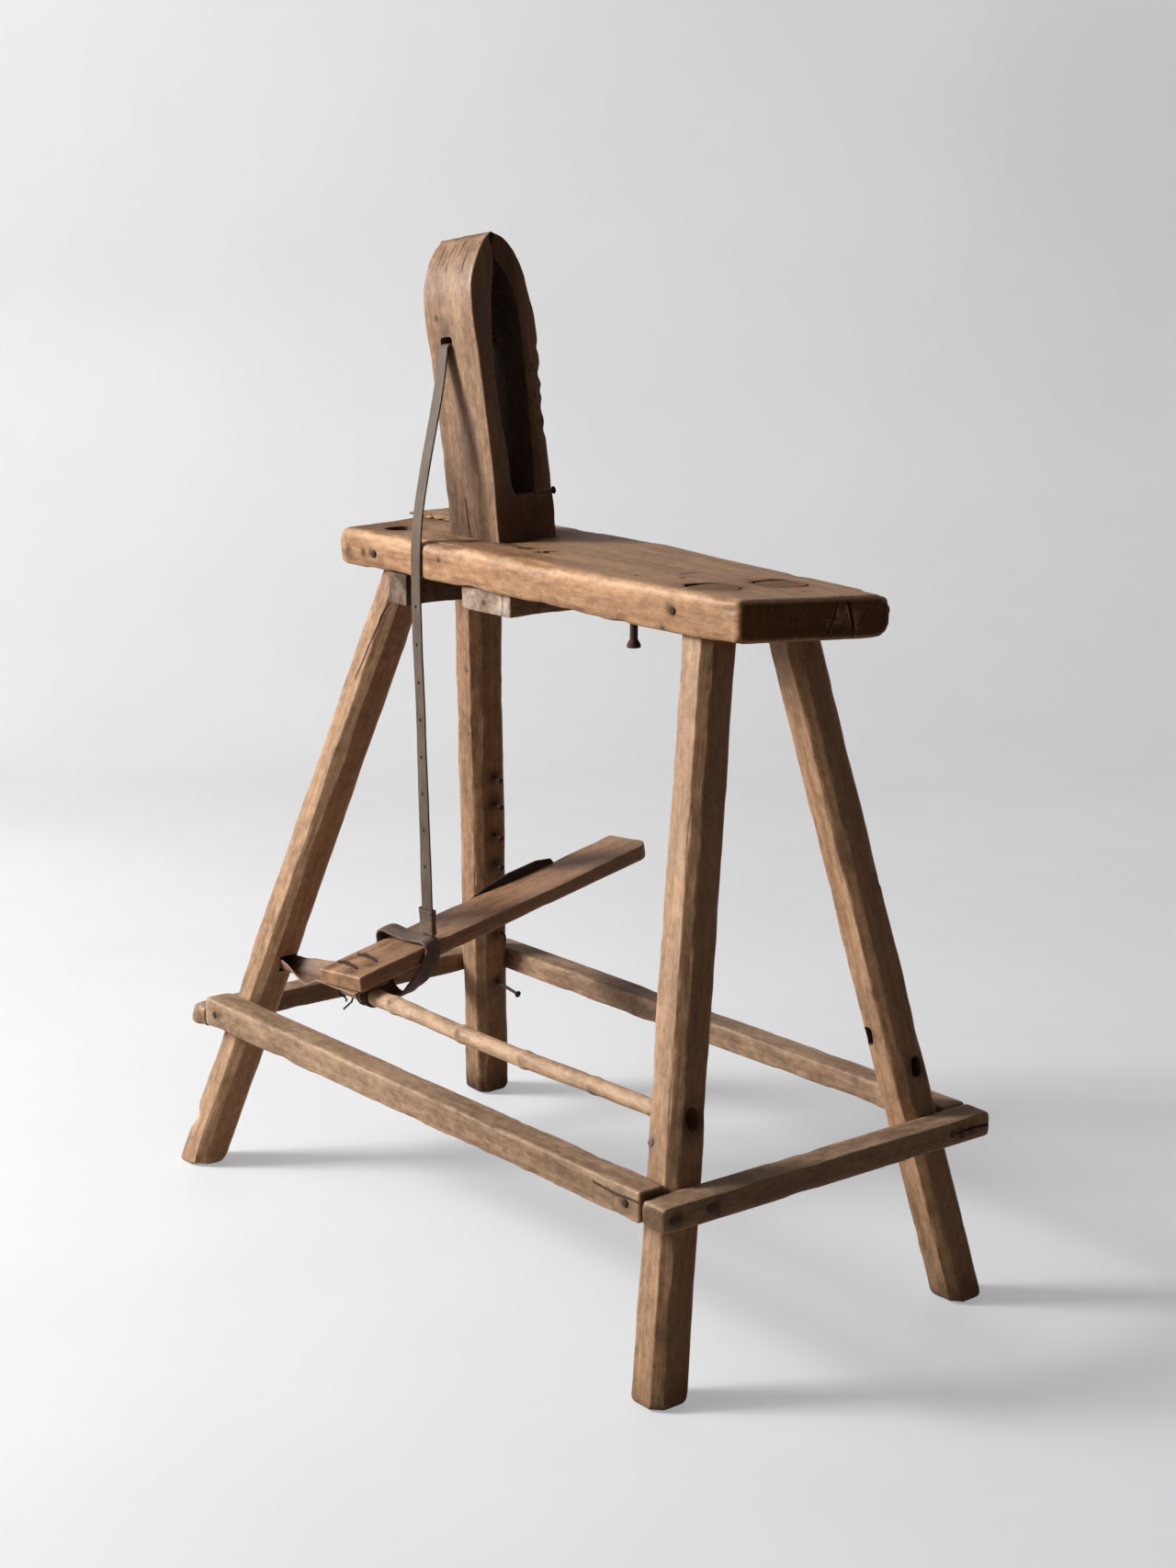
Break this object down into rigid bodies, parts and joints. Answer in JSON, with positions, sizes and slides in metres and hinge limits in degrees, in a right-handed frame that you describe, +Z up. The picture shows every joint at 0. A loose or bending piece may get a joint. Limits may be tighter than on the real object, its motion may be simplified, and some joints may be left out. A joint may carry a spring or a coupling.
{
  "type": "saddle maker bench",
  "caption": "Stitching horse: plank seat on splayed legs, with an upright wooden clamp that a strap and a foot treadle pull shut.",
  "frame": {"origin": "centre of the box, on the floor", "axes": "+Z up, +X along the bench towards the seat end, +Y from the near long side to the far one"},
  "size_m": [0.872, 0.5468, 1.072],
  "materials": {
    "plank_wood": "worn smooth, waxed by use",
    "leg_wood": "worn",
    "rail_wood": "worn",
    "grey_wood": "dry and grey",
    "jaw_wood": "worn",
    "rod_wood": "peeled stick",
    "leather": "old and dry",
    "iron": "rusted"
  },
  "bodies": {
    "frame": {"batten_clamp_end": "grey_wood", "batten_middle": "grey_wood", "batten_nail_1": "iron", "batten_nail_2": "iron", "bent_nail": "iron", "fixed_jaw": "jaw_wood", "hanging_bolt": "iron", "jaw_hinge_leather": "leather", "jaw_hinge_tack_low_1": "iron", "jaw_hinge_tack_low_2": "iron", "keeper_nail": "iron", "leg_clamp_far": "leg_wood", "leg_clamp_near": "leg_wood", "leg_seat_far": "leg_wood", "leg_seat_near": "leg_wood", "long_nail": "iron", "patch_nail": "iron", "peg_clamp_far_1": "grey_wood", "peg_clamp_far_2": "grey_wood", "peg_seat_near": "grey_wood", "plank_nail_1": "iron", "plank_nail_2": "iron", "plank_patch": "grey_wood", "rail_clamp_end": "rail_wood", "rail_clamp_nail_1": "iron", "rail_clamp_nail_2": "iron", "rail_far": "rail_wood", "rail_far_nail_1": "iron", "rail_far_nail_2": "iron", "rail_near": "rail_wood", "rail_near_nail_1": "iron", "rail_near_nail_2": "iron", "rail_seat_end": "rail_wood", "rail_seat_nail_1": "iron", "rail_seat_nail_2": "iron", "rail_seat_nail_3": "iron", "rail_seat_nail_4": "iron", "ratchet_nail_1": "iron", "ratchet_nail_2": "iron", "ratchet_nail_3": "iron", "ratchet_nail_4": "iron", "seat_plank": "plank_wood", "strap": "leather", "treadle_hinge_leather": "leather", "treadle_hinge_nail_1": "iron", "treadle_hinge_nail_2": "iron"},
    "treadle": {"treadle_board": "rail_wood", "catch_plate": "iron", "catch_plate_nail_1": "iron", "catch_plate_nail_2": "iron", "pivot_rod": "rod_wood", "rod_tie_wire": "iron", "treadle_loop": "leather", "strap_sleeve": "leather"},
    "moving_jaw_body": {"moving_jaw": "jaw_wood", "jaw_hinge_tack_high_1": "iron", "jaw_hinge_tack_high_2": "iron", "strap_tack_1": "iron", "strap_tack_2": "iron"}
  },
  "joints": [
    {"name": "treadle_pivot", "type": "hinge", "parent": "frame", "child": "treadle", "pos_m": [-0.1841, -0.185, 0.2575], "axis": [1, 0, 0], "range_deg": [0, 14], "deforming": ["strap", "treadle_hinge_leather"]},
    {"name": "moving_jaw_hinge", "type": "hinge", "parent": "frame", "child": "moving_jaw_body", "pos_m": [-0.13248, 0.02068, 0.79298], "axis": [-0.991, 0, -0.134], "range_deg": [0, 8.4], "deforming": ["jaw_hinge_leather", "strap"]}
  ],
  "couplings": [
    {"joint": "moving_jaw_hinge", "follows": "treadle_pivot", "ratio": 0.593}
  ]
}
